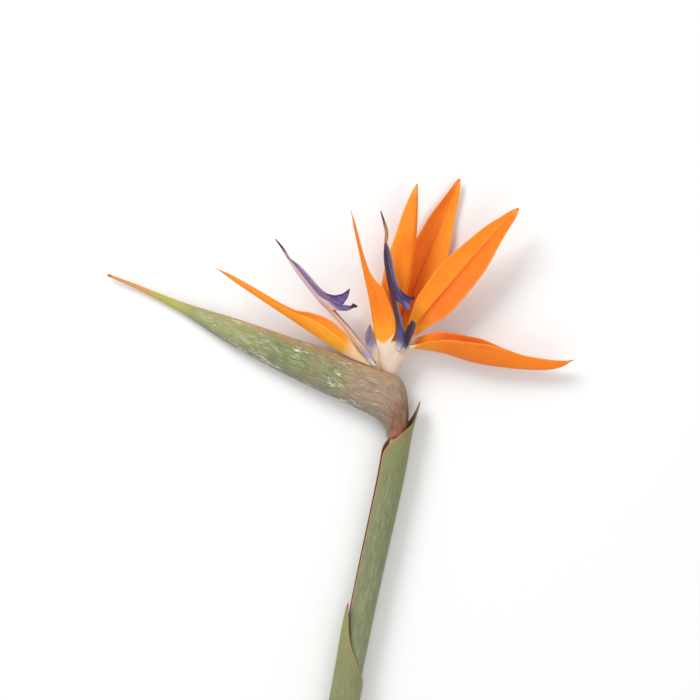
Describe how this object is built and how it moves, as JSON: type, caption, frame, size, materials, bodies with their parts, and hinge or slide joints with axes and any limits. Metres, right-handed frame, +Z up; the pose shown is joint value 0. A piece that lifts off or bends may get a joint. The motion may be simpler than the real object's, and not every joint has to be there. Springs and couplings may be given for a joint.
{
  "type": "bird of paradise flower",
  "caption": "Cut bird of paradise flower on its stem, lying on its side, with a beak-shaped green spathe, orange sepals and blue arrow petals.",
  "frame": {"origin": "middle of the base of the flower's box, on the surface that it lies on", "axes": "+Z up from that surface; +Y along the stem towards the flower head; -X towards the tip of the spathe"},
  "size_m": [0.2814, 0.456, 0.0353],
  "materials": {
    "stem": "fresh green stalk, satin",
    "sheath": "olive green leaf sheath, satin",
    "spathe": "green bract with a grey waxy bloom, satin",
    "ovary": "cream flesh, satin",
    "sepal": "bright orange, satin",
    "blue_petal": "violet blue, satin",
    "style": "brown, dull"
  },
  "bodies": {
    "root": {"stem": "stem", "lower_sheath": "sheath", "upper_sheath": "sheath", "spathe": "spathe", "floret_1_ovary": "ovary", "floret_2_ovary": "ovary", "floret_1_left_sepal": "sepal", "floret_1_middle_sepal": "sepal", "floret_1_back_sepal": "sepal", "floret_2_left_sepal": "sepal", "floret_2_back_sepal": "sepal", "floret_2_right_sepal": "sepal", "floret_1_arrow_petals": "blue_petal", "floret_2_arrow_petals": "blue_petal", "floret_1_short_petal": "blue_petal", "floret_2_short_petal": "blue_petal", "floret_1_style": "style", "floret_2_style": "style"}
  },
  "joints": []
}
